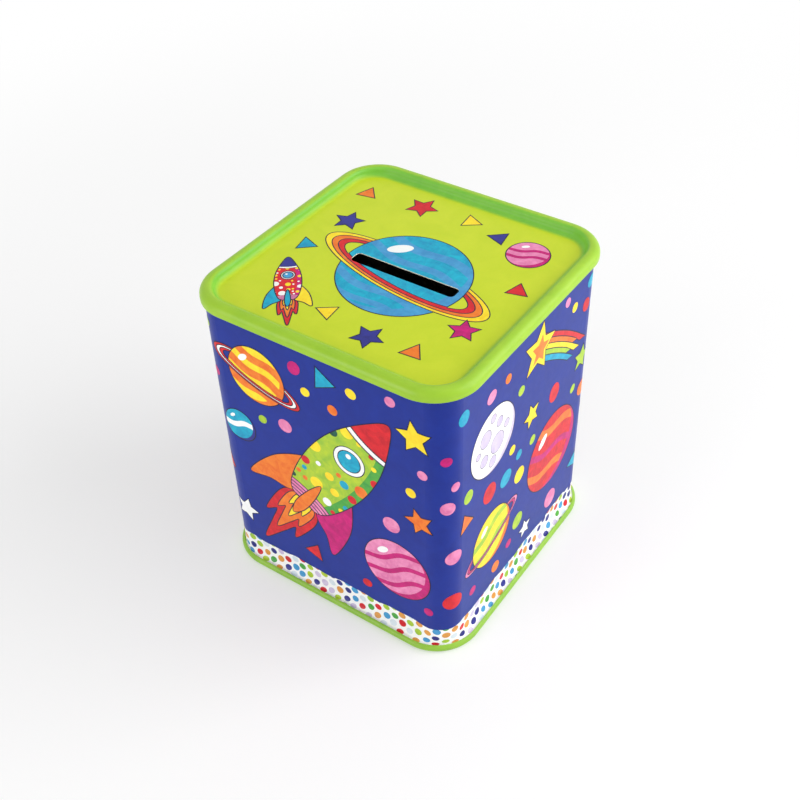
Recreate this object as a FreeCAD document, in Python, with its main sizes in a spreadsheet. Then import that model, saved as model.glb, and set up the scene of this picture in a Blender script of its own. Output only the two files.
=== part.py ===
"""Square tin money box: a printed tinplate body with a seamed base and a lift-off slotted lid.

Millimetres. Z is up, and the origin is the centre of the footprint, on the plane that the tin stands on.
Three pieces of sheet: the body wall, the base plate rolled over its foot, and the pressed lid.
"""
import FreeCAD, Part
import Sketcher
import math
import os

OUT_DIR = "parts"
NEAR = 1e-4

# Alias, size in mm (or degrees), and what it is
DIMENSIONS = [
    ("sheet", 0.3, "tinplate thickness"),
    ("overall_height", 100.2, "from the standing face to the top of the lid's rim"),
    ("body_width", 80.0, "across the flat walls, outside"),
    ("body_corner", 7.0, "outside radius of the wall's upright corners"),
    ("hem_depth", 4.0, "height of the hem folded in round the mouth"),
    ("mouth_gap", 0.6, "from the mouth's edge up to the lid's rim, inside"),
    ("lock_width", 4.5, "width of the lock seam up the back wall"),
    ("lock_depth", 0.6, "thickness that the lock seam adds inside"),
    ("lock_groove", 0.12, "depth of the line that the lock seam leaves outside"),
    ("lock_groove_width", 0.5, "width of that line"),
    ("lock_notch", 5.0, "height below the hem, and above the flare, where the lock seam is cut thin"),
    ("seam_overhang", 3.1, "how far the base's roll stands out past the flat walls"),
    ("seam_corner_overhang", 1.35, "how far it stands out past the wall's corners"),
    ("seam_roll", 1.3, "outside radius of the base's roll"),
    ("seam_gap", 0.05, "between the base's roll and the body's curl inside it"),
    ("seam_wrap", 165.0, "degrees that the base's roll turns, from its foot"),
    ("flare_height", 3.8, "height over which the wall flares out above the roll"),
    ("foot_flat", 2.4, "width of the flat that the tin stands on, inside the roll"),
    ("base_rise", 1.5, "height of the base's raised panel above the standing face"),
    ("base_slope_run", 0.8, "run of the slope between the foot and that panel"),
    ("base_bend", 0.6, "bend radius at the slope's upper and lower edge"),
    ("lid_overhang", 2.5, "how far the lid stands out past the flat walls"),
    ("lid_corner_overhang", 1.05, "how far the lid stands out past the wall's corners"),
    ("lid_depth", 3.4, "from the top of the rim to the skirt's lower edge"),
    ("rim_round", 2.2, "radius over the rim's outer edge"),
    ("rim_inner_round", 1.3, "radius over the rim's inner edge"),
    ("crest_flat", 0.05, "least flat left along the top of the rim, between those two"),
    ("recess_depth", 2.5, "from the top of the rim down to the panel"),
    ("recess_slope", 15.0, "degrees that the recess wall leans from upright"),
    ("recess_round", 1.5, "radius where the recess wall meets the panel"),
    ("plug_gap", 0.26, "between the recess wall, outside, and the hemmed mouth"),
    ("skirt_hem", 1.0, "height of the hem folded in round the skirt"),
    ("slot_length", 33.2, "coin slot, end to end"),
    ("slot_width", 4.2, "coin slot, clear width"),
    ("slot_corner", 1.3, "radius of the coin slot's corners"),
    ("slot_across", 1.5, "slot's centre from the lid's centre, towards the right wall"),
    ("slot_forward", 1.7, "slot's centre from the lid's centre, towards the front wall"),
]

doc = FreeCAD.newDocument("tin_money_box")
sizes = doc.addObject("Spreadsheet::Sheet", "sizes")
for row, (alias, amount, meaning) in enumerate(DIMENSIONS, start=1):
    sizes.set(f"A{row}", meaning)
    sizes.set(f"B{row}", str(amount))
    sizes.setAlias(f"B{row}", alias)
doc.recompute()

# Lengths that follow from the sheet, as expressions
SHEET = "sizes.sheet"
TOP_LEVEL = "sizes.overall_height"
BODY_HALF = "(sizes.body_width / 2)"
MOUTH_LEVEL = "(sizes.overall_height - sizes.sheet - sizes.mouth_gap)"
ROLL_HALF = f"({BODY_HALF} + sizes.seam_overhang - sizes.seam_roll)"
# A square's corner radius follows from how far it stands out past the wall on the flats and at the corners
SEAM_CORNER = ("(sizes.body_corner"
               " + (sqrt(2) * sizes.seam_overhang - sizes.seam_corner_overhang) / (sqrt(2) - 1))")
ROLL_CORNER = f"({SEAM_CORNER} - sizes.seam_roll)"
CURL_RADIUS = "(sizes.seam_roll - sizes.sheet - sizes.seam_gap)"
FLARE_LEVEL = f"(sizes.seam_roll + {CURL_RADIUS} + sizes.flare_height)"
LID_HALF = f"({BODY_HALF} + sizes.lid_overhang)"
LID_CORNER = ("(sizes.body_corner"
              " + (sqrt(2) * sizes.lid_overhang - sizes.lid_corner_overhang) / (sqrt(2) - 1))")
PANEL_LEVEL = "(sizes.overall_height - sizes.recess_depth)"
SKIRT_LEVEL = "(sizes.overall_height - sizes.lid_depth)"
# A folded edge is all but a full round: two of these radii just fit the doubled sheet
FOLD_ROUND = "(0.95 * sizes.sheet)"
# A pierced edge is rounded on both sides, and two of these radii fit the single sheet
EDGE_ROUND = f"({FOLD_ROUND} / 2)"


def evaluate(expression):
    return float(sizes.evalExpression(expression))


def point(right, up):
    """A sketch point from two expressions."""
    return FreeCAD.Vector(evaluate(right), evaluate(up), 0)


def bind(thing, values):
    """Ties each named property of a document object to an expression on the sheet."""
    for name, expression in values.items():
        thing.setExpression(name, expression)


def new_body(label):
    body = doc.addObject("PartDesign::Body", label)
    body.Label = label
    return body


def new_sketch(body, name, role="XY_Plane", level="0"):
    """A sketch on one of the body's own origin planes, moved along its normal to a level."""
    sketch = body.newObject("Sketcher::SketchObject", name)
    origin_plane = next(feature for feature in body.Origin.OriginFeatures if feature.Role == role)
    sketch.AttachmentSupport = (origin_plane, [""])
    sketch.MapMode = "FlatFace"
    bind(sketch, {".AttachmentOffset.Base.z": level})
    return sketch


def size(sketch, kind, expression, *where):
    """Adds a dimension to a sketch and ties it to an expression. Angles are in degrees."""
    drawn = evaluate(expression)
    if kind == "Angle":
        drawn = math.radians(drawn)
    index = sketch.addConstraint(Sketcher.Constraint(kind, *where, drawn))
    bind(sketch, {f"Constraints[{index}]": expression})


def pin(sketch, geometry, end, right, up):
    """Fixes an end or centre at a distance right of and above the sketch's origin."""
    size(sketch, "DistanceX", right, -1, 1, geometry, end)
    size(sketch, "DistanceY", up, -1, 1, geometry, end)


def rule(sketch, kind, *where):
    """Adds a rule without a size, such as Horizontal."""
    sketch.addConstraint(Sketcher.Constraint(kind, *where))


def add_lines(sketch, points):
    return [sketch.addGeometry(Part.LineSegment(here, following))
            for here, following in zip(points, points[1:])]


def add_arc(sketch, centre, radius, start, finish):
    """Adds an arc, drawn anticlockwise between two angles in degrees."""
    circle = Part.Circle(centre, FreeCAD.Vector(0, 0, 1), radius)
    return sketch.addGeometry(Part.ArcOfCircle(circle, math.radians(start), math.radians(finish)))


def join(sketch, pairs, kind="Coincident"):
    """Joins sketch lines and arcs end to end. Ends are numbered 1 and 2."""
    for first, first_end, second, second_end in pairs:
        rule(sketch, kind, first, first_end, second, second_end)


def rounded_rectangle(sketch, half_x, half_y, corner):
    """Draws a rectangle with round corners about the sketch's origin."""
    radius = evaluate(corner)
    straight_x, straight_y = evaluate(half_x) - radius, evaluate(half_y) - radius
    centres = [FreeCAD.Vector(right * straight_x, up * straight_y, 0)
               for right, up in ((1, 1), (-1, 1), (-1, -1), (1, -1))]
    outline = []
    for side, centre in enumerate(centres):
        turn = FreeCAD.Rotation(FreeCAD.Vector(0, 0, 1), 90 * side)
        outwards = turn.multVec(FreeCAD.Vector(radius, 0, 0))
        outline.extend(add_lines(sketch, [centres[side - 1] + outwards, centre + outwards]))
        outline.append(add_arc(sketch, centre, radius, 90 * side, 90 * (side + 1)))
    join(sketch, [(here, 2, following, 1) for here, following in zip(outline, outline[1:] + outline[:1])],
         "Tangent")
    lines, arcs = outline[0::2], outline[1::2]
    for line, direction in zip(lines, ("Vertical", "Horizontal", "Vertical", "Horizontal")):
        rule(sketch, direction, line)
    for arc in arcs[1:]:
        rule(sketch, "Equal", arcs[0], arc)
    size(sketch, "Radius", corner, arcs[0])
    size(sketch, "DistanceX", half_x, -1, 1, lines[0], 1)
    size(sketch, "DistanceY", half_y, -1, 1, lines[1], 1)
    size(sketch, "DistanceX", half_x, lines[2], 1, -1, 1)
    size(sketch, "DistanceY", half_y, lines[3], 1, -1, 1)


def square_sketch(body, name, half, corner, level):
    sketch = new_sketch(body, name, level=level)
    rounded_rectangle(sketch, half, half, corner)
    return sketch


def back_strip(body, name, width, front, back, level):
    """A sketch of a rectangle at the back wall, centred on it, between two distances from the Z axis."""
    sketch = new_sketch(body, name, level=level)
    left, right = f"-{width} / 2", f"{width} / 2"
    corners = [point(left, front), point(right, front), point(right, back), point(left, back)]
    sides = add_lines(sketch, corners + corners[:1])
    join(sketch, [(here, 2, following, 1) for here, following in zip(sides, sides[1:] + sides[:1])])
    for side, direction in zip(sides, ("Horizontal", "Vertical", "Horizontal", "Vertical")):
        rule(sketch, direction, side)
    size(sketch, "DistanceX", right, sides[0], 1, -1, 1)
    pin(sketch, sides[0], 2, right, front)
    size(sketch, "DistanceY", back, -1, 1, sides[2], 1)
    return sketch


def pad(body, name, profile, length, downwards=False):
    """Thickens a sketch upwards, or down, or a feature's face outwards."""
    feature = body.newObject("PartDesign::Pad", name)
    feature.Profile = profile
    feature.Reversed = downwards
    bind(feature, {"Length": length})
    return feature


def pocket(body, name, sketch, depth, upwards=False):
    """Cuts down from a sketch, or up, and makes sure that material went."""
    doc.recompute()
    before = body.Shape.Volume
    feature = body.newObject("PartDesign::Pocket", name)
    feature.Profile = sketch
    feature.Reversed = upwards
    bind(feature, {"Length": depth})
    doc.recompute()
    if feature.Shape.Volume >= before:
        raise RuntimeError(f"{name} cut nothing")
    return feature


def loft(body, kind, name, sketches):
    feature = body.newObject(kind, name)
    feature.Profile = sketches[0]
    feature.Sections = sketches[1:]
    return feature


def sweep(body, name, profile, path):
    feature = body.newObject("PartDesign::AdditivePipe", name)
    feature.Profile = profile
    feature.Spine = (path, [""])
    return feature


def fillet(body, name, base, radius, wanted):
    """Rounds the edges of a feature that a test on the edge picks out."""
    doc.recompute()
    names = [f"Edge{i}" for i, edge in enumerate(base.Shape.Edges, start=1) if wanted(edge)]
    feature = body.newObject("PartDesign::Fillet", name)
    feature.Base = (base, names)
    bind(feature, {"Radius": radius})
    return feature


def at_level(thing, level):
    """True where an edge or face lies flat at a level."""
    height = evaluate(level)
    return abs(thing.BoundBox.ZMin - height) < NEAR and abs(thing.BoundBox.ZMax - height) < NEAR


def faces_at(feature, level):
    """The names of a feature's flat faces at a level."""
    return [f"Face{i}" for i, face in enumerate(feature.Shape.Faces, start=1) if at_level(face, level)]


def on_path(edge, path):
    """True where the middle of an edge lies on a sketched path, seen from above."""
    middle = edge.valueAt((edge.FirstParameter + edge.LastParameter) / 2)
    middle.z = path.Shape.BoundBox.ZMin
    return path.Shape.distToShape(Part.Vertex(middle))[0] < NEAR


def body_wall():
    """Body wall: one printed blank wrapped into a rounded square and locked up the back.

    The foot flares out and curls over to take the base. The mouth is hemmed inwards, so no cut edge shows.
    """
    body = new_body("body_wall")
    inner_half, inner_corner = f"({BODY_HALF} - sizes.sheet)", "(sizes.body_corner - sizes.sheet)"
    hem_level = f"({MOUTH_LEVEL} - sizes.hem_depth)"
    outline = square_sketch(body, "wall_outline", BODY_HALF, "sizes.body_corner", FLARE_LEVEL)
    pad(body, "wall", outline, f"{MOUTH_LEVEL} - {FLARE_LEVEL}")

    # The flare is a quarter of an ellipse in section, and its corner widens to the roll's as it goes down
    flare_out = "(sizes.seam_overhang - sizes.seam_roll)"
    outside, inside = [], []
    for turn in (0, 30, 60, 90):
        cosine, sine = f"cos({turn} deg)", f"sin({turn} deg)"
        half = f"({BODY_HALF} + {flare_out} * (1 - {cosine}))"
        corner = f"(sizes.body_corner + ({ROLL_CORNER} - sizes.body_corner) * (1 - {cosine}))"
        level = f"({FLARE_LEVEL} - sizes.flare_height * {sine})"
        outside.append(square_sketch(body, f"flare_outside_{turn}", half, corner, level))
        # One sheet thickness inwards, along the ellipse's normal and straight across the corner
        rise, run = f"(sizes.flare_height * {cosine})", f"({flare_out} * {sine})"
        slant = f"sqrt({rise} ^ 2 + {run} ^ 2)"
        inwards, down = f"(sizes.sheet * {rise} / {slant})", f"(sizes.sheet * {run} / {slant})"
        inside_corner = f"({corner} + (sizes.sheet - sqrt(2) * {inwards}) / (sqrt(2) - 1))"
        inside.append(square_sketch(body, f"flare_inside_{turn}", f"({half} - {inwards})", inside_corner,
                                    f"({level} - {down})"))
    flare = loft(body, "PartDesign::AdditiveLoft", "flare", outside)
    doc.recompute()
    pad(body, "flare_shelf", (flare, faces_at(flare, f"(sizes.seam_roll + {CURL_RADIUS})")), SHEET)
    loft(body, "PartDesign::SubtractiveLoft", "flare_hollow", inside)

    # The hem is the same sheet folded back, so the mouth is two sheets thick
    bore = square_sketch(body, "wall_inside", inner_half, inner_corner, FLARE_LEVEL)
    pocket(body, "hollow", bore, f"{hem_level} - {FLARE_LEVEL}", upwards=True)
    mouth = square_sketch(body, "mouth_inside", f"({inner_half} - sizes.sheet)",
                          f"({inner_corner} - sizes.sheet)", MOUTH_LEVEL)
    mouth_cut = pocket(body, "mouth", mouth, "sizes.hem_depth")
    fillet(body, "hem_fold", mouth_cut, FOLD_ROUND, lambda edge: at_level(edge, MOUTH_LEVEL))

    # The lock seam is folded to the inside, and outside only a line shows
    lock = back_strip(body, "lock_outline", "sizes.lock_width", f"({inner_half} - sizes.lock_depth)",
                      f"({inner_half} + sizes.sheet / 2)", f"{FLARE_LEVEL} + sizes.lock_notch")
    pad(body, "lock_seam", lock, f"{hem_level} - {FLARE_LEVEL} - 2 * sizes.lock_notch")
    line = back_strip(body, "lock_line", "sizes.lock_groove_width", f"({BODY_HALF} - sizes.lock_groove)",
                      f"({BODY_HALF} + sizes.sheet)", FLARE_LEVEL)
    pocket(body, "lock_groove", line, f"{hem_level} - {FLARE_LEVEL}", upwards=True)

    # The foot's curl goes half a turn round, from the end of the flare down to the base
    path = square_sketch(body, "curl_path", ROLL_HALF, ROLL_CORNER, "sizes.seam_roll")
    section = new_sketch(body, "curl_section", "XZ_Plane")
    centre = point(ROLL_HALF, "sizes.seam_roll")
    curl_inside = f"({CURL_RADIUS} - sizes.sheet)"
    outer, inner = (add_arc(section, centre, evaluate(radius), -90, 90)
                    for radius in (CURL_RADIUS, curl_inside))
    top, = add_lines(section, [section.getPoint(outer, 2), section.getPoint(inner, 2)])
    end, = add_lines(section, [section.getPoint(inner, 1), section.getPoint(outer, 1)])
    join(section, [(outer, 2, top, 1), (top, 2, inner, 2), (inner, 1, end, 1), (end, 2, outer, 1),
                   (outer, 3, inner, 3)])
    rule(section, "Vertical", top)
    rule(section, "Vertical", end)
    rule(section, "PointOnObject", outer, 3, top)
    size(section, "Radius", CURL_RADIUS, outer)
    size(section, "Radius", curl_inside, inner)
    pin(section, outer, 3, ROLL_HALF, "sizes.seam_roll")
    sweep(body, "curl", section, path)
    return body


def base_plate():
    """Base plate: pressed sheet that stands on a flat foot, with its edge rolled over the body's curl."""
    body = new_body("base_plate")
    slope_foot = f"({ROLL_HALF} - sizes.foot_flat)"
    panel_half = f"({slope_foot} - sizes.base_slope_run)"
    panel_corner = f"({ROLL_CORNER} - sizes.foot_flat - sizes.base_slope_run)"
    panel_top_level = "(sizes.base_rise + sizes.sheet)"
    panel = square_sketch(body, "panel_outline", panel_half, panel_corner, "sizes.base_rise")
    pad(body, "panel", panel, SHEET)

    # The rim in section: down the slope, along the foot, round the roll, and back inside it to the panel
    path = square_sketch(body, "roll_path", ROLL_HALF, ROLL_CORNER, "sizes.seam_roll")
    section = new_sketch(body, "rim_section", "XZ_Plane")
    centre = point(ROLL_HALF, "sizes.seam_roll")
    roll_inside, roll_end = "(sizes.seam_roll - sizes.sheet)", "(sizes.seam_wrap - 90)"
    outer, inner = (add_arc(section, centre, evaluate(radius), -90, evaluate(roll_end))
                    for radius in ("sizes.seam_roll", roll_inside))
    slant = "sqrt(sizes.base_slope_run ^ 2 + sizes.base_rise ^ 2)"
    inside_step = f"(sizes.sheet * ({slant} - sizes.base_slope_run) / sizes.base_rise)"
    panel_under = point(panel_half, "sizes.base_rise")
    slope, foot = add_lines(section, [panel_under, point(slope_foot, "0"), section.getPoint(outer, 1)])
    edge, = add_lines(section, [section.getPoint(inner, 2), section.getPoint(outer, 2)])
    foot_inside, slope_inside, panel_top, panel_end = add_lines(section, [
        section.getPoint(inner, 1), point(f"{slope_foot} + {inside_step}", SHEET),
        point(f"{panel_half} + {inside_step}", panel_top_level), point(panel_half, panel_top_level),
        panel_under])
    join(section, [(slope, 2, foot, 1), (foot, 2, outer, 1), (outer, 2, edge, 2), (edge, 1, inner, 2),
                   (inner, 1, foot_inside, 1), (foot_inside, 2, slope_inside, 1),
                   (slope_inside, 2, panel_top, 1), (panel_top, 2, panel_end, 1), (panel_end, 2, slope, 1),
                   (outer, 3, inner, 3)])
    for flat in (foot, foot_inside, panel_top):
        rule(section, "Horizontal", flat)
    rule(section, "Vertical", panel_end)
    rule(section, "Parallel", slope, slope_inside)
    rule(section, "PointOnObject", outer, 3, edge)
    rule(section, "PointOnObject", foot, 1, -1)
    size(section, "Radius", "sizes.seam_roll", outer)
    size(section, "Radius", roll_inside, inner)
    size(section, "Angle", roll_end, edge)
    for geometry, end, across in ((outer, 3, ROLL_HALF), (foot, 2, ROLL_HALF), (foot_inside, 1, ROLL_HALF),
                                  (foot, 1, slope_foot)):
        size(section, "DistanceX", across, -1, 1, geometry, end)
    size(section, "DistanceX", inside_step, foot, 1, foot_inside, 2)
    pin(section, slope, 1, panel_half, "sizes.base_rise")
    size(section, "DistanceY", SHEET, panel_end, 2, panel_end, 1)
    rim = sweep(body, "rim", section, path)

    # The sheet bends at both ends of the slope, and each bend has a tight side and a wide side
    tight = fillet(body, "bends_tight", rim, "sizes.base_bend", lambda edge: at_level(edge, "sizes.base_rise")
                   or at_level(edge, SHEET) and not on_path(edge, path))
    fillet(body, "bends_wide", tight, "sizes.base_bend + sizes.sheet",
           lambda edge: at_level(edge, panel_top_level) or at_level(edge, "0") and not on_path(edge, path))
    return body


def lid():
    """Lid: pressed sheet whose recessed panel plugs the mouth, with a raised rim, a skirt and a coin slot."""
    body = new_body("lid")
    # The recess wall leans in from the rim, and its outer face clears the hemmed mouth by the plug's gap
    lean = "(sizes.recess_slope * 1 deg)"
    recess_half = (f"({BODY_HALF} - 2 * sizes.sheet - sizes.plug_gap - sizes.sheet / cos{lean}"
                   f" + (sizes.sheet + sizes.mouth_gap) * tan{lean})")
    recess_corner = f"({LID_CORNER} - {LID_HALF} + {recess_half})"

    # The rim's outer round is as large as the rim leaves beside the inner one
    inner_run = f"(sizes.rim_inner_round * tan((90 deg - {lean}) / 2))"
    rim_room = f"({LID_HALF} - {recess_half} - {inner_run})"
    outline = square_sketch(body, "lid_outline", LID_HALF, LID_CORNER, TOP_LEVEL)
    blank = pad(body, "lid_blank", outline, "sizes.lid_depth", downwards=True)
    fillet(body, "rim", blank, f"min(sizes.rim_round; {rim_room} - sizes.crest_flat)",
           lambda edge: at_level(edge, TOP_LEVEL))
    recess = square_sketch(body, "recess_outline", recess_half, recess_corner, TOP_LEVEL)
    recess_cut = pocket(body, "recess", recess, "sizes.recess_depth")
    bind(recess_cut, {"TaperAngle": "-sizes.recess_slope"})
    rim_inside = fillet(body, "rim_inside", recess_cut, "sizes.rim_inner_round",
                        lambda edge: at_level(edge, TOP_LEVEL) and on_path(edge, recess))
    drawn = fillet(body, "recess_bend", rim_inside, "sizes.recess_round",
                   lambda edge: at_level(edge, PANEL_LEVEL))
    doc.recompute()
    shell = body.newObject("PartDesign::Thickness", "lid_sheet")
    shell.Base = (drawn, faces_at(drawn, SKIRT_LEVEL))
    shell.Reversed = True
    bind(shell, {"Value": SHEET})

    # The skirt's lower edge is hemmed inwards, like the mouth
    hem = square_sketch(body, "hem_outline", f"({LID_HALF} - sizes.sheet)", f"({LID_CORNER} - sizes.sheet)",
                        SKIRT_LEVEL)
    fold_half = f"({LID_HALF} - 2 * sizes.sheet)"
    rounded_rectangle(hem, fold_half, fold_half, f"({LID_CORNER} - 2 * sizes.sheet)")
    skirt = pad(body, "skirt_hem", hem, "sizes.skirt_hem")
    fillet(body, "skirt_fold", skirt, FOLD_ROUND, lambda edge: at_level(edge, SKIRT_LEVEL))

    # The coin slot is pierced through the panel
    slot = new_sketch(body, "slot_outline", level=PANEL_LEVEL)
    bind(slot, {".AttachmentOffset.Base.x": "sizes.slot_across",
                ".AttachmentOffset.Base.y": "-sizes.slot_forward"})
    rounded_rectangle(slot, "sizes.slot_length / 2", "sizes.slot_width / 2", "sizes.slot_corner")
    pierced = pocket(body, "slot", slot, SHEET)
    fillet(body, "slot_edge", pierced, EDGE_ROUND, lambda edge: on_path(edge, slot) and
           (at_level(edge, PANEL_LEVEL) or at_level(edge, f"{PANEL_LEVEL} - sizes.sheet")))
    return body


pieces = [body_wall(), base_plate(), lid()]
doc.recompute()
for thing in doc.Objects:
    if "Invalid" in thing.State or "Error" in thing.State:
        raise RuntimeError(f"{thing.Name}: {thing.getStatusString()}")
for piece in pieces:
    if piece.Shape.isNull() or not piece.Shape.isValid() or len(piece.Shape.Solids) != 1:
        raise RuntimeError(f"{piece.Label} is not one sound solid")
os.makedirs(OUT_DIR, exist_ok=True)
for piece in pieces:
    piece.Shape.exportStep(os.path.join(OUT_DIR, f"{piece.Label}.step"))
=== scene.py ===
"""Tin money box: the finish and the print of its three tinplate pieces, in a white studio.

Sizes are in millimetres, and MM turns them to metres. Z is up, the front wall faces -Y and the right wall +X.
"""
import bpy
import math
import random
from mathutils import Matrix, Vector
from mathutils.geometry import delaunay_2d_cdt


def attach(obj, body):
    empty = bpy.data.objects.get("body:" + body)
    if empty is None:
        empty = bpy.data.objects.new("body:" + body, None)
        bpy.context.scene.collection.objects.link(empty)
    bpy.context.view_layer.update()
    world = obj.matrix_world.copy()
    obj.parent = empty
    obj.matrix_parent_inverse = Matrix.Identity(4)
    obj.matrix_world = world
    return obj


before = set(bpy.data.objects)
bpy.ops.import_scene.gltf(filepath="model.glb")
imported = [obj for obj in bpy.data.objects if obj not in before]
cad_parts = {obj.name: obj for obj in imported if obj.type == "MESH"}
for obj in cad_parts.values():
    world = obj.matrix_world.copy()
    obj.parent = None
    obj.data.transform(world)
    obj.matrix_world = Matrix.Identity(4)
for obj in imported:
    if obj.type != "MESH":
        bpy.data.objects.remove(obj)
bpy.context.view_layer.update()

# Base plate: tinplate, coated green outside, then pressed, with its edge rolled over the body's foot.
# The roll shows as a green bead round the foot. Inside, the plate is bare under a clear lacquer.
MM = 0.001
SHEET = 0.3
ROLL_HALF = 41.8
ROLL_CORNER = 13.02
ROLL_RADIUS = 1.3
FACES_DOWN = -0.2


def linear(code):
    """A colour for the shaders, from its sRGB hex code."""
    shares = [int(code[i:i + 2], 16) / 255 for i in (1, 3, 5)]
    return (*[s / 12.92 if s <= 0.04045 else ((s + 0.055) / 1.055) ** 2.4 for s in shares], 1.0)


def add_node(tree, kind, inputs, **settings):
    """Adds a node with its settings. Each input takes a value, or a link from another node's output."""
    node = tree.nodes.new(kind)
    for name, setting in settings.items():
        setattr(node, name, setting)
    for name, value in inputs.items():
        if isinstance(value, bpy.types.NodeSocket):
            tree.links.new(value, node.inputs[name])
        else:
            node.inputs[name].default_value = value
    return node


def new_material(name):
    """A material with an empty node tree, and the place on the piece that its patterns follow."""
    material = bpy.data.materials.new(name)
    material.use_nodes = True
    material.node_tree.nodes.clear()
    return material, add_node(material.node_tree, "ShaderNodeTexCoord", {}).outputs["Object"]


STROKE_SIZES = (0.35, 2.5, 0.35)
STROKE_TURNS = (0.5, 0.6, 0.7)
STROKE_STRENGTH = 0.5


def mottled(tree, place, tone, shade, blotch):
    """A colour that drifts from a tone to a shade in soft blotches, with fine brush streaks across them.

    The streaks are as wide as the marks of a brush's bristles, and weaker where the blotches are large.
    """
    soft = add_node(tree, "ShaderNodeTexNoise", {"Vector": place, "Scale": 1 / (blotch * MM), "Detail": 4.0,
                                                 "Roughness": 0.6, "Distortion": 0.7})
    drift = add_node(tree, "ShaderNodeMapRange", {"Value": soft.outputs["Fac"], "From Min": 0.34,
                                                  "From Max": 0.66})
    paint = add_node(tree, "ShaderNodeMix", {"Factor": drift.outputs["Result"], "A": linear(tone),
                                             "B": linear(shade)}, data_type="RGBA")
    strokes = add_node(tree, "ShaderNodeMapping", {"Vector": place, "Rotation": STROKE_TURNS,
                                                   "Scale": [1 / (size * MM) for size in STROKE_SIZES]})
    streaks = add_node(tree, "ShaderNodeTexNoise", {"Vector": strokes.outputs["Vector"], "Scale": 1.0})
    return add_node(tree, "ShaderNodeMix", {"Factor": STROKE_STRENGTH / blotch, "A": paint.outputs["Result"],
                                            "B": streaks.outputs["Color"]},
                    data_type="RGBA", blend_type="SOFT_LIGHT").outputs["Result"]


VARNISH_IOR = 1.32
VARNISH_ROUGHNESS = (0.3, 0.4)
RIPPLE = 1.4
RIPPLE_DEPTH = 0.02
RIPPLE_STRENGTH = 0.06


def varnished(material, place, colour):
    """Finishes a material as ink under a semi-gloss stoved varnish, which flows out to a faint ripple.

    The eye gets soft, weak reflections over full colour. The IOR is below a varnish's usual 1.5, to match how
    little the tin's walls mirror.
    """
    tree = material.node_tree
    ripple = add_node(tree, "ShaderNodeTexNoise", {"Vector": place, "Scale": 1 / (RIPPLE * MM),
                                                   "Detail": 2.0})
    bump = add_node(tree, "ShaderNodeBump", {"Height": ripple.outputs["Fac"], "Strength": RIPPLE_STRENGTH,
                                             "Distance": RIPPLE_DEPTH * MM})
    sheen = add_node(tree, "ShaderNodeMapRange", {"Value": ripple.outputs["Fac"],
                                                  "To Min": VARNISH_ROUGHNESS[0],
                                                  "To Max": VARNISH_ROUGHNESS[1]})
    shader = add_node(tree, "ShaderNodeBsdfPrincipled", {"Base Color": colour, "IOR": VARNISH_IOR,
                                                         "Roughness": sheen.outputs["Result"],
                                                         "Normal": bump.outputs["Normal"]})
    add_node(tree, "ShaderNodeOutputMaterial", {"Surface": shader.outputs["BSDF"]})
    return material


def printed_ink(name, tone, shade, blotch=3.0):
    """Lithographic ink or coloured lacquer on tinplate, varnished: a colour as uneven as brushed paint."""
    material, place = new_material(name)
    return varnished(material, place, mottled(material.node_tree, place, tone, shade, blotch))


ROLLING_SIZES = (0.5, 0.5, 25.0)
TIN_ROUGHNESS = (0.29, 0.42)


def bare_tinplate():
    """Steel with a bright tin coat under a clear lacquer: soft reflections, with rolling lines up the sheet.

    Real rolling lines are some hundredths of a millimetre wide. These are drawn coarser, so that they show.
    """
    material, place = new_material("clear_lacquered_tinplate")
    tree = material.node_tree
    along = add_node(tree, "ShaderNodeMapping", {"Vector": place,
                                                 "Scale": [1 / (size * MM) for size in ROLLING_SIZES]})
    lines = add_node(tree, "ShaderNodeTexNoise", {"Vector": along.outputs["Vector"], "Scale": 1.0,
                                                  "Detail": 3.0})
    colour = add_node(tree, "ShaderNodeMix", {"Factor": lines.outputs["Fac"], "A": linear("#d3d0c8"),
                                              "B": linear("#b6b2a8")}, data_type="RGBA")
    polish = add_node(tree, "ShaderNodeMapRange", {"Value": lines.outputs["Fac"], "To Min": TIN_ROUGHNESS[0],
                                                   "To Max": TIN_ROUGHNESS[1]})
    shader = add_node(tree, "ShaderNodeBsdfPrincipled", {"Base Color": colour.outputs["Result"],
                                                         "Metallic": 1.0,
                                                         "Roughness": polish.outputs["Result"]})
    add_node(tree, "ShaderNodeOutputMaterial", {"Surface": shader.outputs["BSDF"]})
    return material


def from_square(spot, half, corner):
    """How far a point is outside a square with round corners, in plan. Inside, it is below zero."""
    across, deep = abs(spot.x) - half + corner, abs(spot.y) - half + corner
    return math.hypot(max(across, 0), max(deep, 0)) + min(max(across, deep), 0) - corner


def finish_sides(node, coat, is_coated):
    """Coats the faces of a piece that a test on their middle and normal picks out. The rest is tinplate."""
    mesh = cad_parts[node].data
    mesh.materials.clear()
    mesh.materials.append(coat)
    mesh.materials.append(tinplate)
    for face in mesh.polygons:
        face.material_index = 0 if is_coated(face.center / MM, face.normal) else 1


def base_is_coated(middle, normal):
    """The green is on the outside of the roll and under the plate."""
    out = from_square(middle, ROLL_HALF, ROLL_CORNER)
    on_roll = out > 0 and math.hypot(out, middle.z - ROLL_RADIUS) > ROLL_RADIUS - SHEET / 2
    return on_roll or normal.z < FACES_DOWN


tinplate = bare_tinplate()
finish_sides("base_plate", printed_ink("green_lacquer_on_tinplate", "#96c445", "#89ba40", blotch=9.0),
             base_is_coated)

# Body wall: one printed blank of tinplate, wrapped into a rounded square and locked up the back.
# The print's ground is a deep blue. The mouth's hem is folded in, so the blue turns over it.
WALL_HALF = 40.0
WALL_CORNER = 7.0
HEM_FOOT = 95.3
FACES_OUT = 0.25


def wall_is_coated(middle, normal):
    """The blue is on the outside of the wall and all over its hem."""
    outwards = Vector((middle.x, middle.y, 0)).normalized()
    return normal.dot(outwards) > FACES_OUT or middle.z > HEM_FOOT + SHEET / 2


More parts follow.
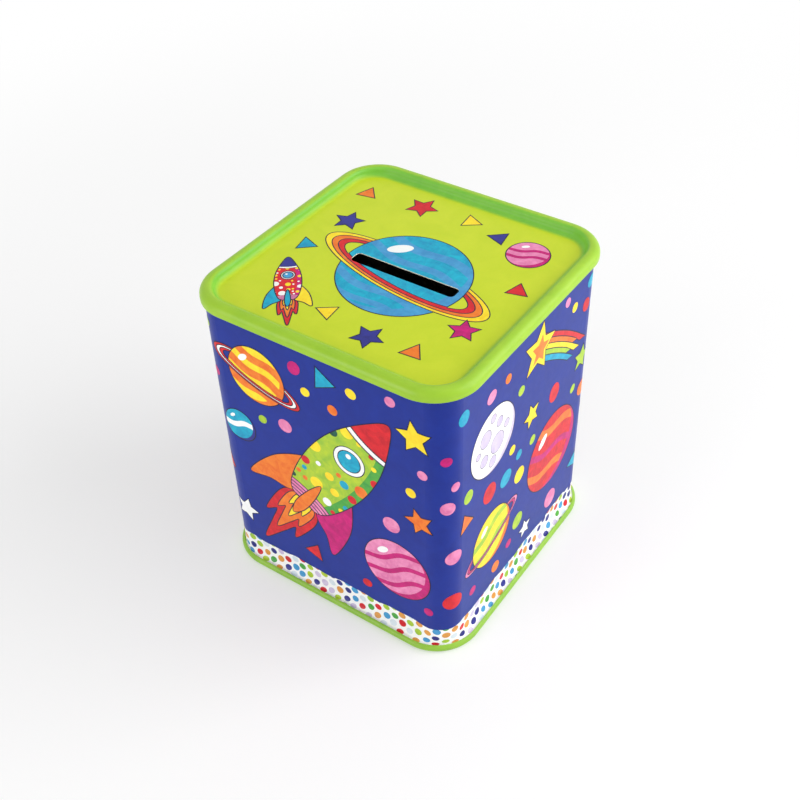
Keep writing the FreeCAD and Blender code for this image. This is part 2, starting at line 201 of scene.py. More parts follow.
finish_sides("body_wall", printed_ink("blue_ink_on_tinplate", "#082b93", "#062689", blotch=6.0),
             wall_is_coated)

# Print on the walls: inks that were laid on the flat sheet before it was bent, as a film under the varnish.
# It is drawn flat here too, in one lap round the tin: x runs right from the middle of the front, and y runs
# up the sheet. Each ink has a tone and a shade.
INK_LIFT = 0.04
LINE = 0.3
STEP = 0.45
INKS = {"line": ("#1d1b3a", "#131129"), "white": ("#fefefc", "#f7f9f8"), "lime": ("#bcd433", "#93c13a"),
        "leaf": ("#5bb040", "#3a9a47"), "pine": ("#17604a", "#0e4538"), "turquoise": ("#13b6d2", "#0a93bd"),
        "sky": ("#4ba3d6", "#3c8fc6"), "red": ("#e3222c", "#c41526"), "orange": ("#f5882b", "#ea6a1f"),
        "yellow": ("#ffea30", "#fbd322"), "magenta": ("#d3127c", "#b40c69"), "pink": ("#f298c2", "#dd72a6"),
        "lilac": ("#d9cfe6", "#c9bcdc"), "navy": ("#2e3192", "#26287a"), "tan": ("#e6a44c", "#d99240"),
        "mist": ("#e0eaf0", "#d3e1ea")}
ink_finishes = {ink: printed_ink(f"{ink}_ink_on_tinplate", *tones) for ink, tones in INKS.items()}


def placed(outline, x, y, turn=0.0, scale=1.0):
    """An outline scaled, turned and moved to a place."""
    cosine, sine = scale * math.cos(math.radians(turn)), scale * math.sin(math.radians(turn))
    return [(x + cosine * u - sine * v, y + sine * u + cosine * v) for u, v in outline]


def oval(x, y, across, tall=None, turn=0.0, start=0.0, sweep=360.0):
    """An ellipse by its half width and half height, or a stretch of one."""
    tall = tall or across
    count = max(10, math.ceil(math.radians(sweep) * max(across, tall) / STEP))
    angles = [math.radians(start + sweep * i / count) for i in range(count if sweep == 360 else count + 1)]
    return placed([(across * math.cos(a), tall * math.sin(a)) for a in angles], x, y, turn)


def star(x, y, radius, turn=0.0, rays=5, waist=0.48):
    """A star by its rays' reach, with its waist as a share of that."""
    reaches = [radius, waist * radius] * rays
    angles = [math.pi / 2 + math.pi * i / rays for i in range(2 * rays)]
    return placed([(r * math.cos(a), r * math.sin(a)) for a, r in zip(angles, reaches)], x, y, turn)


def lune(x, y, radius, thick, turn):
    """A crescent along the edge of a disc, as thick as a share of its radius."""
    outer = oval(0, 0, radius, start=-90, sweep=180)
    inner = oval(0, 0, radius * (1 - thick), radius, start=-90, sweep=180)
    return placed(outer + inner[-2:0:-1], x, y, turn)


def curve(points):
    """A smooth closed outline through a few points."""
    points = [Vector(p) for p in points]
    outline = []
    for i, here in enumerate(points):
        before, after, later = points[i - 1], points[(i + 1) % len(points)], points[(i + 2) % len(points)]
        count = math.ceil((after - here).length / STEP)
        for t in (k / count for k in range(count)):
            outline.append(tuple(0.5 * (2 * here + (after - before) * t
                                        + (2 * before - 5 * here + 4 * after - later) * t ** 2
                                        + (3 * here - before - 3 * after + later) * t ** 3)))
    return outline


def mirrored(points):
    """A whole outline from its right half, listed from top to bottom."""
    return points + [(-x, y) for x, y in reversed(points) if x]


def wavy(width, low, high, wave, ripples):
    """A level band between two like waves, across a width centred on zero."""
    count = math.ceil(width / STEP)
    across = [width * (i / count - 0.5) for i in range(count + 1)]
    rise = [wave * math.sin(2 * math.pi * ripples * u / width) for u in across]
    lower = [(u, low + r) for u, r in zip(across, rise)]
    upper = [(u, high + r) for u, r in zip(across, rise)]
    return lower + upper[::-1]


def signed_area(outline):
    """The area inside an outline, below zero where the outline runs clockwise."""
    return sum(x * v - u * y for (x, y), (u, v) in zip(outline, outline[1:] + outline[:1])) / 2


def swell(outline, width):
    """An anticlockwise outline moved outwards by a width."""
    grown = []
    for before, here, after in zip(outline[-1:] + outline[:-1], outline, outline[1:] + outline[:1]):
        arriving = (Vector(here) - Vector(before)).normalized()
        leaving = (Vector(after) - Vector(here)).normalized()
        along = (arriving + leaving).normalized()
        reach = width / max(0.5, math.cos(arriving.angle(leaving, 0) / 2))
        grown.append((here[0] + reach * along.y, here[1] - reach * along.x))
    return grown


class FlatPrint:
    """A print as it is drawn on the flat sheet: shapes with their inks, the last on top.

    Inside a motif, sizes and places are shares of its radius or length, and turns are in degrees. Each motif
    notes the circles that it takes up, so that loose dots keep clear of it.
    """

    def __init__(self):
        self.shapes = []
        self.taken = []

    def add(self, ink, outline, inside=None):
        """Adds a shape, perhaps shown only inside an earlier one, and returns its number. No ink is a gap."""
        self.shapes.append((ink, outline if signed_area(outline) > 0 else outline[::-1], inside))
        return len(self.shapes) - 1

    def edged(self, ink, outline, inside=None):
        """Adds a shape with a thin dark line round it."""
        outline = outline if signed_area(outline) > 0 else outline[::-1]
        self.add("line", swell(outline, LINE), inside)
        return self.add(ink, outline, inside)

    def star(self, x, y, radius, ink, turn=0.0):
        self.edged(ink, star(x, y, radius, turn))
        self.taken.append((x, y, radius))

    def pennant(self, x, y, size, ink, turn=0.0):
        """A small triangle."""
        self.edged(ink, star(x, y, size, turn, 3, 0.5))
        self.taken.append((x, y, size))

    def planet(self, x, y, radius, ink, bands, shade, tilt=0.0, ring=()):
        """A round planet with wavy bands, a darker edge, a gleam, and perhaps a ring with several inks."""
        rims = [(radius * (1.2 + 0.13 * i), radius * (0.3 + 0.05 * i)) for i in range(len(ring), -1, -1)]
        for rim, ring_ink in zip(rims, ring):
            self.edged(ring_ink, oval(x, y, *rim, tilt))
        if ring:
            self.edged(None, oval(x, y, *rims[-1], tilt))
        disc = self.edged(ink, oval(x, y, radius))
        for low, high, band_ink in bands:
            band = wavy(2.2 * radius, low * radius, high * radius, 0.07 * radius, 1.5)
            self.add(band_ink, placed(band, x, y, tilt), disc)
        self.add(shade, lune(x, y, radius, 0.2, -35), disc)
        self.add("white", oval(x - 0.42 * radius, y + 0.52 * radius, 0.2 * radius, 0.1 * radius, 38), disc)
        for outer, inner, ring_ink in zip(rims, rims[1:], ring):
            front = oval(0, 0, *outer, start=180, sweep=180) + oval(0, 0, *inner, start=180, sweep=180)[::-1]
            self.edged(ring_ink, placed(front, x, y, tilt), disc - 1)
        ring_reach = rims[0][0] if ring else radius
        self.taken.append((x, y, radius + 0.25 * (ring_reach - radius)))
        if ring:
            for end in (-1, 1):
                self.taken.append((*placed([(0.86 * end * ring_reach, 0)], x, y, tilt)[0], 0.25 * radius))

    def moon(self, x, y, radius, ink, crater):
        """A full moon with round craters."""
        disc = self.edged(ink, oval(x, y, radius))
        self.add(crater, lune(x, y, radius, 0.16, -40), disc)
        craters = ((-.35, .3, .24), (.28, .42, .14), (.2, -.2, .3), (-.4, -.38, .17), (-.02, .72, .12),
                   (.62, .12, .12), (-.68, -.02, .1), (.0, -.68, .16))
        for across, up, size in craters:
            spot = (x + across * radius, y + up * radius)
            self.add("line", oval(*spot, size * radius + LINE / 2), disc)
            self.add(crater, oval(*spot, size * radius), disc)
        self.taken.append((x, y, radius))

    def crescent(self, x, y, radius, turn):
        """A thin yellow moon."""
        moon = self.edged("yellow", lune(x, y, radius, 0.75, turn))
        self.add("orange", lune(x, y, radius, 0.2, turn), moon)
        for angle, size in ((-38, .1), (5, .15), (40, .09)):
            angle = math.radians(angle)
            spot = (0.68 * radius * math.cos(angle), 0.86 * radius * math.sin(angle))
            self.add("orange", oval(*placed([spot], x, y, turn)[0], size * radius), moon)
        self.taken.append((x, y, radius))

    def comet(self, x, y, radius, turn, length):
        """A star with a striped tail, which streams out to its right before the turn and droops."""
        tail = ("red", "orange", "yellow", "lime", "turquoise")
        stripe = 1.3 * radius / len(tail)
        for number, ink in enumerate(tail):
            top = 0.65 * radius - stripe * number
            end = length * (1 - 0.16 * (number % 2) - 0.05 * number)
            count = math.ceil(end / STEP)
            run = [end * k / count for k in range(count + 1)]
            upper = [(u, top - 0.16 * u * u / length) for u in run]
            lower = [(u, v - stripe) for u, v in upper]
            tip = (end + 0.5 * radius, upper[-1][1] - stripe / 2)
            self.edged(ink, placed(upper + [tip] + lower[::-1], x, y, turn))
        head = self.edged("yellow", star(x, y, 1.3 * radius, turn + 12))
        self.add("orange", star(x + 0.08 * radius, y - 0.08 * radius, 0.75 * radius, turn + 12), head)
        for share in (0, .35, .7, 1):
            spot = (share * length, -0.16 * length * share ** 2)
            self.taken.append((*placed([spot], x, y, turn)[0], 1.1 * radius))

    def rocket(self, x, y, length, turn, hull, nose, fins, glass, spots, seed):
        """A rounded rocket with a spotted hull, a nose cone, a port, three fins and a flame."""
        def here(points):
            return placed(points, x, y, turn, length)

        def disc(across, up, radius):
            return oval(*here([(across, up)])[0], radius * length)

        for ink, share in (("red", 1), ("orange", .7), ("yellow", .42)):
            flame = ((0, .03), (.085, -.03), (.115, -.12), (.1, -.3), (.062, -.24), (.038, -.34), (0, -.5))
            self.edged(ink, curve(here(mirrored([(share * u, share * v - .33) for u, v in flame]))))
        for side, ink in zip((1, -1), fins):
            fin = ((.1, -.06), (.235, -.24), (.275, -.49), (.185, -.42), (.07, -.33))
            self.edged(ink, curve(here([(side * u, v) for u, v in fin])))
        shell = mirrored([(0, .5), (.07, .39), (.135, .2), (.157, 0), (.138, -.2), (.09, -.335), (0, -.355)])
        body = self.edged(hull[1], curve(here(shell)))
        self.add(hull[0], curve(here([(0.84 * u - .025, v) for u, v in shell])), body)
        chance = random.Random(seed)
        used = [(0, .13, .1)]
        for _ in range(500):
            u, v = chance.uniform(-.15, .15), chance.uniform(-.26, .27)
            radius = chance.choice((.014, .024, .034, .044))
            if all(math.hypot(u - a, v - b) > radius + r + .014 for a, b, r in used):
                used.append((u, v, radius))
                self.add(chance.choice(spots), disc(u, v, radius), body)
        for ink, level in (("line", .57), ("white", .577), ("line", .6), (nose, .607)):
            cone = oval(0, 0, .36 * length, .3 * length)
            self.add(ink, placed(cone, *here([(0, level)])[0], turn), body)
        for level in range(5):
            for ink, drop in (("line", 0), ("pink", .006)):
                cuff = oval(0, 0, .3 * length, .2 * length)
                self.add(ink, placed(cuff, *here([(0, -.46 - .022 * level - drop)])[0], turn), body)
        self.edged(fins[1], curve(here(mirrored([(0, -.17), (.022, -.26), (.028, -.4), (0, -.48)]))))
        self.edged("white", disc(0, .13, .078))
        self.edged(glass, disc(0, .13, .056))
        self.add("white", disc(-.018, .152, .014))
        for share, room in ((-.6, .2), (-.38, .29), (-.15, .2), (.12, .19), (.38, .14)):
            self.taken.append((*here([(0, share)])[0], room * length))


STRAIGHT = WALL_HALF - WALL_CORNER
CORNER_RUN = WALL_CORNER * math.pi / 4
SIDE = 2 * (STRAIGHT + CORNER_RUN)
LAP = 4 * SIDE

wall = FlatPrint()
wall.rocket(4, 56, 64, -35, ("lime", "leaf"), "red", ("magenta", "orange"), "turquoise",
            ("red", "yellow", "white", "orange", "pine", "turquoise", "red", "yellow"), seed=1)
wall.planet(-21, 79, 9.5, "yellow", ((.45, .75, "orange"), (-.12, .2, "orange"), (-.68, -.36, "orange")),
            "orange", -20, ring=("red", "white", "red"))
wall.planet(23, 28, 11, "pink", ((.36, .52, "magenta"), (-.1, .06, "magenta"), (-.58, -.42, "magenta")),
            "magenta", 24)
wall.planet(-30, 57, 5.5, "turquoise", ((-.1, .25, "white"),), "navy", 12)
wall.star(30, 82, 5.4, "yellow", 10)
wall.star(-33, 21, 4.6, "white", -14)
wall.star(31, 52, 4.6, "orange", 20)
wall.pennant(2, 88, 4.0, "turquoise", 25)
wall.pennant(-7, 17, 3.6, "red", -20)

right_middle = SIDE
wall.moon(right_middle - 18, 69, 11, "white", "lilac")
wall.comet(right_middle + 5, 84, 6.5, -24, 28)
wall.planet(right_middle + 17, 38, 14, "red",
            ((.5, .72, "orange"), (-.05, .12, "magenta"), (-.6, -.4, "orange")), "magenta", -16)
wall.planet(right_middle - 17, 31, 10, "yellow", ((.3, .55, "lime"), (-.4, -.12, "lime")), "orange", 18,
            ring=("pink", "magenta"))
wall.star(right_middle + 3, 62, 4.2, "yellow", 14)
wall.star(right_middle + 32, 63, 4.4, "lime", -12)
wall.star(right_middle + 3, 16, 3.4, "white", 6)
wall.pennant(right_middle - 31, 49, 3.6, "orange", 15)
wall.pennant(right_middle + 33, 20, 3.4, "turquoise", -25)

rear_middle = 2 * SIDE
wall.rocket(rear_middle - 18, 58, 60, 14, ("yellow", "orange"), "magenta", ("turquoise", "lime"), "sky",
            ("red", "magenta", "lime", "turquoise", "white"), seed=4)
wall.planet(rear_middle + 19, 72, 11.5, "turquoise", ((.4, .65, "lime"), (-.25, .05, "lime")), "navy", -18,
            ring=("yellow", "orange", "yellow"))
wall.planet(rear_middle + 21, 29, 9.5, "orange", ((.2, .45, "red"), (-.5, -.2, "red")), "red", 20)
wall.star(rear_middle + 12, 49, 4.2, "white", 10)
wall.star(rear_middle + 31, 50, 4.0, "pink", -16)
wall.pennant(rear_middle + 6, 22, 3.6, "lime", 30)

left_middle = 3 * SIDE
wall.rocket(left_middle + 12, 58, 64, 26, ("turquoise", "sky"), "yellow", ("red", "orange"), "lime",
            ("white", "yellow", "pink", "lime", "red"), seed=9)
wall.planet(left_middle - 21, 74, 11, "magenta",
            ((.3, .5, "pink"), (-.2, 0, "pink"), (-.7, -.5, "pink")), "navy", -22)
wall.crescent(left_middle + 29.5, 67, 8.5, -25)
wall.planet(left_middle - 21, 36, 8.5, "lime", ((.1, .4, "leaf"), (-.5, -.25, "leaf")), "leaf", 15,
            ring=("orange", "yellow"))
wall.star(left_middle - 2, 20, 4.0, "yellow", 12)
wall.star(left_middle - 27, 55, 4.0, "white", -8)
wall.pennant(left_middle + 32, 84, 3.8, "orange", 16)

# Loose dots fill the ground between the motifs
GROUND_DOTS = ("red", "magenta", "yellow", "orange", "turquoise", "lime", "pink")
GROUND_LEVELS = (14, 91)
GROUND_RADII = (1.6, 2.3, 2.8, 3.3)
DOT_MARGIN = 2.8
DOT_TRIES = 5000
chance = random.Random(11)
for _ in range(DOT_TRIES):
    x, y, radius = chance.uniform(0, LAP), chance.uniform(*GROUND_LEVELS), chance.choice(GROUND_RADII)
    if all(math.hypot((x - a + LAP / 2) % LAP - LAP / 2, y - b) > radius + r + DOT_MARGIN
           for a, b, r in wall.taken):
        wall.taken.append((x, y, radius))
        wall.add(chance.choice(GROUND_DOTS), oval(x, y, radius, radius * chance.uniform(0.82, 1.1),
                                                  chance.uniform(0, 180)))

# The foot is white with columns of coloured dots, under a hand-drawn edge that comes round to meet itself.
# Every other column is half a step higher. The dots are flatter the further they are down the flare.
FOOT_TOP = 9.1
EDGE_WAVES, EDGE_WAVE = 16, 0.3
EDGE_RIPPLES, EDGE_RIPPLE = 36, 0.16
DOT_COLUMNS = 108
DOT_LEVELS = ((1.9, 4.7, 8.1), (0.8, 3.2, 6.4, 9.8))
DOT_RADIUS = 1.22
DOT_STRAY = 0.2
ROUND_FROM = 5.0
FLATTEST = 0.4
FOOT_DOTS = 2 * ("red", "tan", "lime", "navy", "sky", "mist") + ("tan", "lime", "lilac", "leaf")
count = math.ceil(LAP / STEP)
edge = []
for i in range(count + 1):
    round_tin = 2 * math.pi * i / count
    edge.append((LAP * i / count, FOOT_TOP + EDGE_WAVE * math.sin(EDGE_WAVES * round_tin)
                 + EDGE_RIPPLE * math.sin(EDGE_RIPPLES * round_tin)))
foot = wall.add("white", [(0, 0), (LAP, 0)] + edge[::-1])
for column in range(DOT_COLUMNS):
    for level in DOT_LEVELS[column % 2]:
        x = LAP * (column + 0.5) / DOT_COLUMNS + chance.uniform(-DOT_STRAY, DOT_STRAY)
        y = level + chance.uniform(-DOT_STRAY, DOT_STRAY)
        radius = DOT_RADIUS * chance.uniform(0.92, 1.06)
        flatness = FLATTEST + (1 - FLATTEST) * min(1.0, y / ROUND_FROM)
        wall.add(chance.choice(FOOT_DOTS), oval(x, y, radius, radius * flatness), foot)

# The print stops under the lid, at the foot's roll and at the lock seam's groove, in the middle of the back
PRINT_TOP = 98.9
SEAM_GROOVE = 0.54
FLARE_TOP = 6.05
FLARE_HEIGHT = 3.8
FLARE_OUT = ROLL_HALF - WALL_HALF
FLARE_RUN = 4.55
FLARE_STEPS = 24
CURL_SHOWN = 0.25
PRINT_FOOT = FLARE_TOP - FLARE_RUN - CURL_SHOWN
groove_left, groove_right = rear_middle - SEAM_GROOVE / 2, rear_middle + SEAM_GROOVE / 2
wall.add(None, [(groove_left, FLARE_TOP), (groove_right, FLARE_TOP),
                (groove_right, PRINT_TOP), (groove_left, PRINT_TOP)])


def outline_reach(straight, bend, half, corner):
    """How far a rounded square lies from where the wall's corners are centred, along the wall's normal."""
    across, deep = abs(straight) - half + corner, STRAIGHT - half + corner
    if across < 0:
        return half - STRAIGHT
    towards = across * math.sin(abs(bend)) + deep * math.cos(bend)
    return math.sqrt(towards ** 2 + corner ** 2 - across ** 2 - deep ** 2) - towards


def flare_turn(share, out):
    """The angle at a share of the length of the flare's quarter ellipse, where it goes out by a distance."""
    steps = [math.pi / 2 * (i + 0.5) / FLARE_STEPS for i in range(FLARE_STEPS)]
    lengths = [math.hypot(out * math.sin(t), FLARE_HEIGHT * math.cos(t)) for t in steps]
    left = min(share, 1.0) * sum(lengths)
    for i, length in enumerate(lengths):
        if left < length:
            return math.pi / 2 * (i + left / length) / FLARE_STEPS
        left -= length
    return math.pi / 2


def on_wall(side, along, up):
    """Where a point of the flat print lies on one side of the wall, and which way the sheet faces there."""
    bend = math.copysign(max(0.0, abs(along) - STRAIGHT) / WALL_CORNER, along)
    straight = max(-STRAIGHT, min(STRAIGHT, along))
    out = outline_reach(straight, bend, ROLL_HALF, ROLL_CORNER) - WALL_CORNER
    turn = flare_turn(max(0.0, FLARE_TOP - up) / FLARE_RUN, out)
    spread = 1 - math.cos(turn)
    reach = outline_reach(straight, bend, WALL_HALF + FLARE_OUT * spread,
                          WALL_CORNER + (ROLL_CORNER - WALL_CORNER) * spread)
    reach += max(0.0, FLARE_TOP - FLARE_RUN - up)
    level = max(up, FLARE_TOP) - FLARE_HEIGHT * math.sin(turn)
    level_share, rise = Vector((FLARE_HEIGHT * math.cos(turn), out * math.sin(turn))).normalized()
    spot = Vector((straight + reach * math.sin(bend), -STRAIGHT - reach * math.cos(bend), level))
    facing = Vector((level_share * math.sin(bend), -level_share * math.cos(bend), rise))
    turned = Matrix.Rotation(math.pi / 2 * side, 3, "Z")
    return turned @ (spot + INK_LIFT * facing), turned @ facing


def lay_print(name, shapes, folds, low, high, on_surface, body):
    """Makes one ink film of a flat print, between two corners. Where shapes overlap, the last one shows."""
    points, faces, edges = [], [], []
    for ink, outline, inside in shapes:
        faces.append(list(range(len(points), len(points) + len(outline))))
        points.extend(outline)
    for fold in folds:
        edges.append((len(points), len(points) + 1))
        points.extend(fold)
    corners, _, triangles, _, _, covers = delaunay_2d_cdt([Vector(p) for p in points], edges, faces, 0, 1e-4)
    kept, inks = [], []
    for triangle, cover in zip(triangles, covers):
        middle = sum((corners[i] for i in triangle), Vector((0, 0))) / 3
        shown = [i for i in cover if shapes[i][2] is None or shapes[i][2] in cover]
        within = low[0] < middle.x < high[0] and low[1] < middle.y < high[1]
        if within and shown and shapes[max(shown)][0]:
            kept.append(triangle)
            inks.append(shapes[max(shown)][0])
    used = sorted({i for triangle in kept for i in triangle})
    number = {old: new for new, old in enumerate(used)}
    spots = [on_surface(*corners[i]) for i in used]
    mesh = bpy.data.meshes.new(name)
    mesh.from_pydata([spot * MM for spot, _ in spots], [], [[number[i] for i in t] for t in kept])
    palette = sorted(set(inks))
    for ink in palette:
        mesh.materials.append(ink_finishes[ink])
    texture = mesh.uv_layers.new(name="OFBake")
    for face, ink, triangle in zip(mesh.polygons, inks, kept):
        face.material_index = palette.index(ink)
        face.use_smooth = True
        for loop, i in zip(face.loop_indices, triangle):
            texture.data[loop].uv = [(corners[i][k] - low[k]) / (high[k] - low[k]) for k in (0, 1)]
    mesh.normals_split_custom_set_from_vertices([facing for _, facing in spots])
    film = bpy.data.objects.new(name, mesh)
    bpy.context.scene.collection.objects.link(film)
    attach(film, body)


# The sheet is flat apart from its corners and its flared foot, so only those have folds
CORNER_FOLDS = 9
FLARE_FOLDS = 8
FLARE_CORNER_FOLDS = 6
reach = SIDE / 2
folds = [((-reach, level), (reach, level)) for level in (PRINT_TOP, PRINT_FOOT)]
for i in range(CORNER_FOLDS + 1):
    across = STRAIGHT + CORNER_RUN * i / CORNER_FOLDS
    folds.extend(((x, 0), (x, PRINT_TOP)) for x in (across, -across))
for i in range(FLARE_FOLDS + 1):
    level = FLARE_TOP - FLARE_RUN * i / FLARE_FOLDS
    folds.append(((-reach, level), (reach, level)))
for i in range(FLARE_CORNER_FOLDS):
    across = STRAIGHT - (STRAIGHT - ROLL_HALF + ROLL_CORNER) * (i + 1) / FLARE_CORNER_FOLDS
    folds.extend(((x, 0), (x, FLARE_TOP)) for x in (across, -across))
for side, name in enumerate(("print_front", "print_right", "print_back", "print_left")):
    chosen, number = [], {}
    for lap in (-LAP, 0, LAP):
        for i, (ink, outline, inside) in enumerate(wall.shapes):
            here = [(x - side * SIDE + lap, y) for x, y in outline]
            reaches_side = min(x for x, _ in here) < reach and max(x for x, _ in here) > -reach
            if reaches_side and (inside is None or (lap, inside) in number):
                number[lap, i] = len(chosen)
                chosen.append((ink, here, number.get((lap, inside))))
    lay_print(name, chosen, folds, (-reach, PRINT_FOOT), (reach, PRINT_TOP),
              lambda along, up: on_wall(side, along, up), "tin")

# Lid: tinplate, printed outside, then pressed with a recessed panel, a raised rim and a hemmed skirt.
# The panel is a yellow lime that turns green up the recess, darker there partly as painted shade, and over
# the rim. The underside is bare. Each ink begins and is full at a distance in from the lid's edge.
LID_HALF = 42.5
LID_CORNER = 13.0
PANEL_LEVEL = 97.7
SKIRT_LEVEL = 96.8
SKIRT_HEM = 1.0
HEM_DEPTH = 2.2 * SHEET
FACES_UP = 0.02
SLOT_MIDDLE = (1.5, -1.7)
SLOT_SIZE = (33.2, 4.2)
SLOT_CORNER = 1.3
SLOT_EDGE = 0.05
# The recess wall's darker green is partly print and partly painted shade
SLOPE_INK_AND_SHADE = (6.4, 4.6)
SLOPE_SHIFT = (-0.3, 0.0)
SLOPE_WIDER = 0.8
RIM_INK = (3.6, 2.8)
RIM_SHIFT = (0.0, 0.4)
LID_BLOTCH = 8.0


def lid_is_coated(middle, normal):
    """The print is on top and down the skirt to the end of its hem, but not on the slot's cut edge."""
    across, deep = abs(middle.x - SLOT_MIDDLE[0]), abs(middle.y - SLOT_MIDDLE[1])
    if across < SLOT_SIZE[0] / 2 + SLOT_EDGE and deep < SLOT_SIZE[1] / 2 + SLOT_EDGE:
        return False
    out = from_square(middle, LID_HALF, LID_CORNER)
    on_hem = out > -HEM_DEPTH and middle.z < SKIRT_LEVEL + SKIRT_HEM
    return normal.z > FACES_UP or out > -SHEET / 2 or on_hem


def lid_inks():
    """Inks that blend by their distance from the lid's edge: lime panel, green recess wall, paler green rim.

    The recess wall's green is darker than the rim's. Part of that is the print's own green and part is
    painted shade.
    Each ink's outline sits a little off the lid's middle, as prints do. The green's is wider than it is deep.
    """
    material, place = new_material("lime_and_green_ink_and_painted_shade_on_tinplate")
    tree = material.node_tree
    inner = (LID_HALF - LID_CORNER) * MM
    colour = mottled(tree, place, "#cddc2c", "#c6d826", LID_BLOTCH)
    # The first blend is the recess wall's green, darker partly as painted shade. The second is the rim's
    # paler green.
    for (begin, full), (right, back), wider, tones in (
            (SLOPE_INK_AND_SHADE, SLOPE_SHIFT, SLOPE_WIDER, ("#82c745", "#78c042")),
            (RIM_INK, RIM_SHIFT, 0.0, ("#a2cb38", "#99c634"))):
        moved = add_node(tree, "ShaderNodeVectorMath", {0: place, 1: (right * MM, back * MM, 0)},
                         operation="SUBTRACT")
        folded = add_node(tree, "ShaderNodeVectorMath", {0: moved.outputs["Vector"]}, operation="ABSOLUTE")
        past = add_node(tree, "ShaderNodeVectorMath", {0: folded.outputs["Vector"],
                                                       1: (inner + wider * MM, inner, 1.0)},
                        operation="SUBTRACT")
        outside = add_node(tree, "ShaderNodeVectorMath", {0: past.outputs["Vector"], 1: (0, 0, 0)},
                           operation="MAXIMUM")
        distance = add_node(tree, "ShaderNodeVectorMath", {0: outside.outputs["Vector"]}, operation="LENGTH")
        share = add_node(tree, "ShaderNodeMapRange", {"Value": distance.outputs["Value"],
                                                      "From Min": (LID_CORNER - begin) * MM,
                                                      "From Max": (LID_CORNER - full) * MM},
                         interpolation_type="SMOOTHSTEP")
        colour = add_node(tree, "ShaderNodeMix", {"Factor": share.outputs["Result"], "A": colour,
                                                  "B": mottled(tree, place, *tones, LID_BLOTCH)},
                          data_type="RGBA").outputs["Result"]
    return varnished(material, place, colour)


finish_sides("lid", lid_inks(), lid_is_coated)

# Print on the lid: the same inks, laid on the flat sheet before the lid was pressed.
# The panel stays level, so the film does too. The coin slot was pierced through it.
LID_PRINT_HALF = 37.0

panel = FlatPrint()
panel.planet(*SLOT_MIDDLE, 18.5, "turquoise",
             ((.55, .72, "sky"), (.2, .34, "sky"), (-.62, -.48, "sky"), (-.9, -.78, "sky")), "sky", -10,
             ring=("yellow", "orange", "red"))
panel.rocket(-23, -21, 23, 38, ("red", "magenta"), "navy", ("yellow", "turquoise"), "sky",
             ("white", "yellow"), seed=3)
panel.star(-27, 12, 4.4, "navy", 12)
panel.star(-13, 29, 4.6, "red", -10)
panel.star(28, -14, 4.2, "magenta", 20)
panel.star(9, -29, 4.4, "navy", -16)
panel.planet(25, 24, 6.0, "pink", ((.2, .4, "magenta"), (-.3, -.1, "magenta")), "magenta", 20)
pennants = ((-31, 27, "orange", 10), (3, 30, "yellow", 35), (14, 27, "navy", -20), (31, 8, "red", 15),
            (-30, -4, "turquoise", 40), (22, -28, "orange", 5), (-6, -26, "yellow", -25))
for x, y, ink, turn in pennants:
    panel.pennant(x, y, 3.2, ink, turn)
straight = (SLOT_SIZE[0] / 2 - SLOT_CORNER, SLOT_SIZE[1] / 2 - SLOT_CORNER)
panel.add(None, [(SLOT_MIDDLE[0] + right * straight[0] + x, SLOT_MIDDLE[1] + up * straight[1] + y)
                 for start, right, up in ((0, 1, 1), (90, -1, 1), (180, -1, -1), (270, 1, -1))
                 for x, y in oval(0, 0, SLOT_CORNER + SLOT_EDGE, start=start, sweep=90)])
lay_print("print_lid", panel.shapes, [], (-LID_PRINT_HALF, -LID_PRINT_HALF), (LID_PRINT_HALF, LID_PRINT_HALF),
          lambda x, y: (Vector((x, y, PANEL_LEVEL + INK_LIFT)), Vector((0, 0, 1))), "lid")

# Studio: a white paper sweep under soft light from the right, the front and above. Its sizes are in metres.
# Where the background shows, straight or in a reflection, the paper is part white of itself near the tin, and
# all white further off.
FLOOR_SPAN = 3.0
NEAR_GLOW = 0.4
NEAR, FAR = 0.1, 0.45
AMBIENT = 0.42


def background_share(tree, least, most):
    """A value that is most for the rays that show the background, and least for those that light the tin."""
    path = add_node(tree, "ShaderNodeLightPath", {})
    seen = path.outputs["Is Camera Ray"]
    for ray in ("Is Glossy Ray", "Is Transmission Ray"):
        seen = add_node(tree, "ShaderNodeMath", {0: seen, 1: path.outputs[ray]},
                        operation="MAXIMUM").outputs["Value"]
    share = add_node(tree, "ShaderNodeMapRange", {"Value": seen, "To Min": least, "To Max": most})
    return share.outputs["Result"]


floor_mesh = bpy.data.meshes.new("floor")
floor_mesh.from_pydata([(-FLOOR_SPAN, -FLOOR_SPAN, 0), (FLOOR_SPAN, -FLOOR_SPAN, 0),
                        (FLOOR_SPAN, FLOOR_SPAN, 0), (-FLOOR_SPAN, FLOOR_SPAN, 0)], [], [(0, 1, 2, 3)])
floor = bpy.data.objects.new("floor", floor_mesh)
bpy.context.scene.collection.objects.link(floor)
paper, place = new_material("white_paper_sweep")
tree = paper.node_tree
lit = add_node(tree, "ShaderNodeBsdfDiffuse", {"Color": linear("#fcfcfc")})
glow = add_node(tree, "ShaderNodeEmission", {"Color": linear("#ffffff"), "Strength": 1.0})
off = add_node(tree, "ShaderNodeVectorMath", {0: place}, operation="LENGTH")
most = add_node(tree, "ShaderNodeMapRange", {"Value": off.outputs["Value"], "From Min": NEAR, "From Max": FAR,
                                             "To Min": NEAR_GLOW}, interpolation_type="SMOOTHSTEP")
surface = add_node(tree, "ShaderNodeMixShader", {0: background_share(tree, 0.0, most.outputs["Result"]),
                                                 1: lit.outputs["BSDF"], 2: glow.outputs["Emission"]})
add_node(tree, "ShaderNodeOutputMaterial", {"Surface": surface.outputs["Shader"]})
floor_mesh.materials.append(paper)

world = bpy.data.worlds.new("white_studio")
world.use_nodes = True
tree = world.node_tree
tree.nodes.clear()
sky = add_node(tree, "ShaderNodeBackground", {"Color": linear("#ffffff"),
                                              "Strength": background_share(tree, AMBIENT, 1.0)})
add_node(tree, "ShaderNodeOutputWorld", {"Surface": sky.outputs["Background"]})
bpy.context.scene.world = world


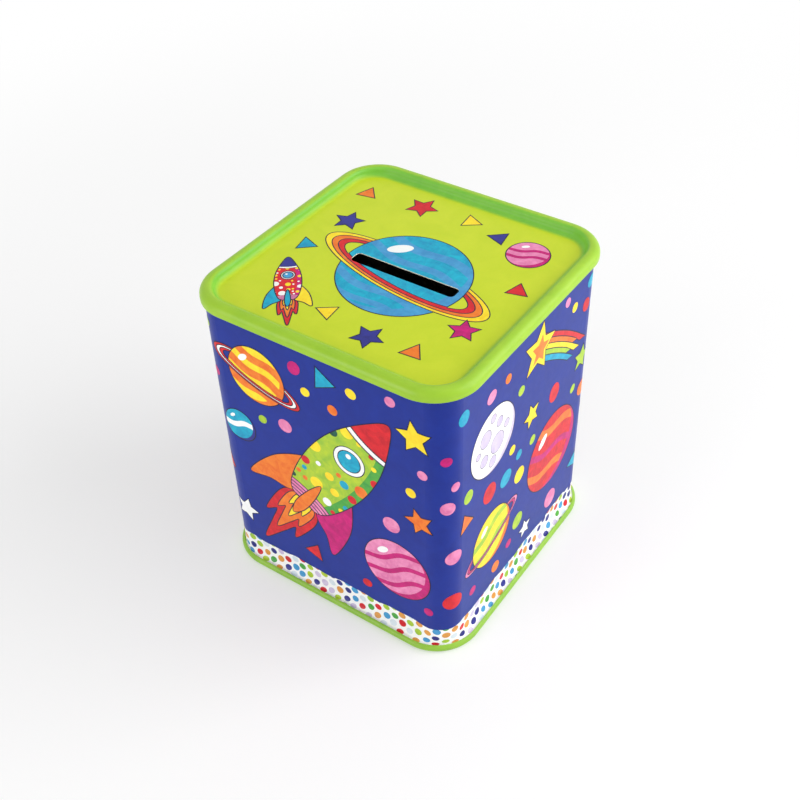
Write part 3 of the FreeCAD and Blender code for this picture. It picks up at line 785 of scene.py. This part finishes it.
def softbox(name, place, target, side, power):
    """A square soft lamp that faces a target, with places and its side in metres and its power in watts."""
    lamp = bpy.data.lights.new(name, "AREA")
    lamp.size = side
    lamp.energy = power
    box = bpy.data.objects.new(name, lamp)
    box.location = place
    box.rotation_euler = (Vector(target) - Vector(place)).to_track_quat("-Z", "Y").to_euler()
    bpy.context.scene.collection.objects.link(box)


softbox("right_softbox", (0.65, 0.3, 0.42), (0.04, 0, 0.05), 0.75, 6.2)
softbox("front_softbox", (-0.35, -0.85, 0.28), (0, 0, 0.05), 0.5, 3.8)
softbox("top_softbox", (0.1, 0.2, 1.0), (0, 0, 0.1), 1.0, 1.8)

# Camera: where the photograph's camera stands round the tin, in degrees and millimetres.
# Its focal length and the middle of its lens are in pixels of the 800-pixel frame.
FRAME_PIXELS = 800
FOCAL_PIXELS = 1133.3
CENTRE_PIXEL = (407.8, 414.8)
AZIMUTH, ELEVATION, ROLL = 35.405, 41.977, -1.854
AIM_LEVEL = 45.0
DISTANCE = 341.2
SENSOR = 36.0
azimuth, elevation = math.radians(AZIMUTH), math.radians(ELEVATION)
back = Vector((math.sin(azimuth) * math.cos(elevation), -math.cos(azimuth) * math.cos(elevation),
               math.sin(elevation)))
right = Vector((math.cos(azimuth), math.sin(azimuth), 0))
facing = Matrix((right, back.cross(right), back)).transposed()
lens = bpy.data.cameras.new("camera")
lens.sensor_width = SENSOR
lens.lens = SENSOR * FOCAL_PIXELS / FRAME_PIXELS
lens.shift_x = 0.5 - CENTRE_PIXEL[0] / FRAME_PIXELS
lens.shift_y = CENTRE_PIXEL[1] / FRAME_PIXELS - 0.5
lens.clip_start = 10 * MM
camera = bpy.data.objects.new("camera", lens)
camera.matrix_world = (Matrix.Translation((Vector((0, 0, AIM_LEVEL)) + DISTANCE * back) * MM)
                       @ facing.to_4x4() @ Matrix.Rotation(math.radians(ROLL), 4, "Z"))
bpy.context.scene.collection.objects.link(camera)
bpy.context.scene.camera = camera
bpy.context.scene.view_settings.view_transform = "Standard"
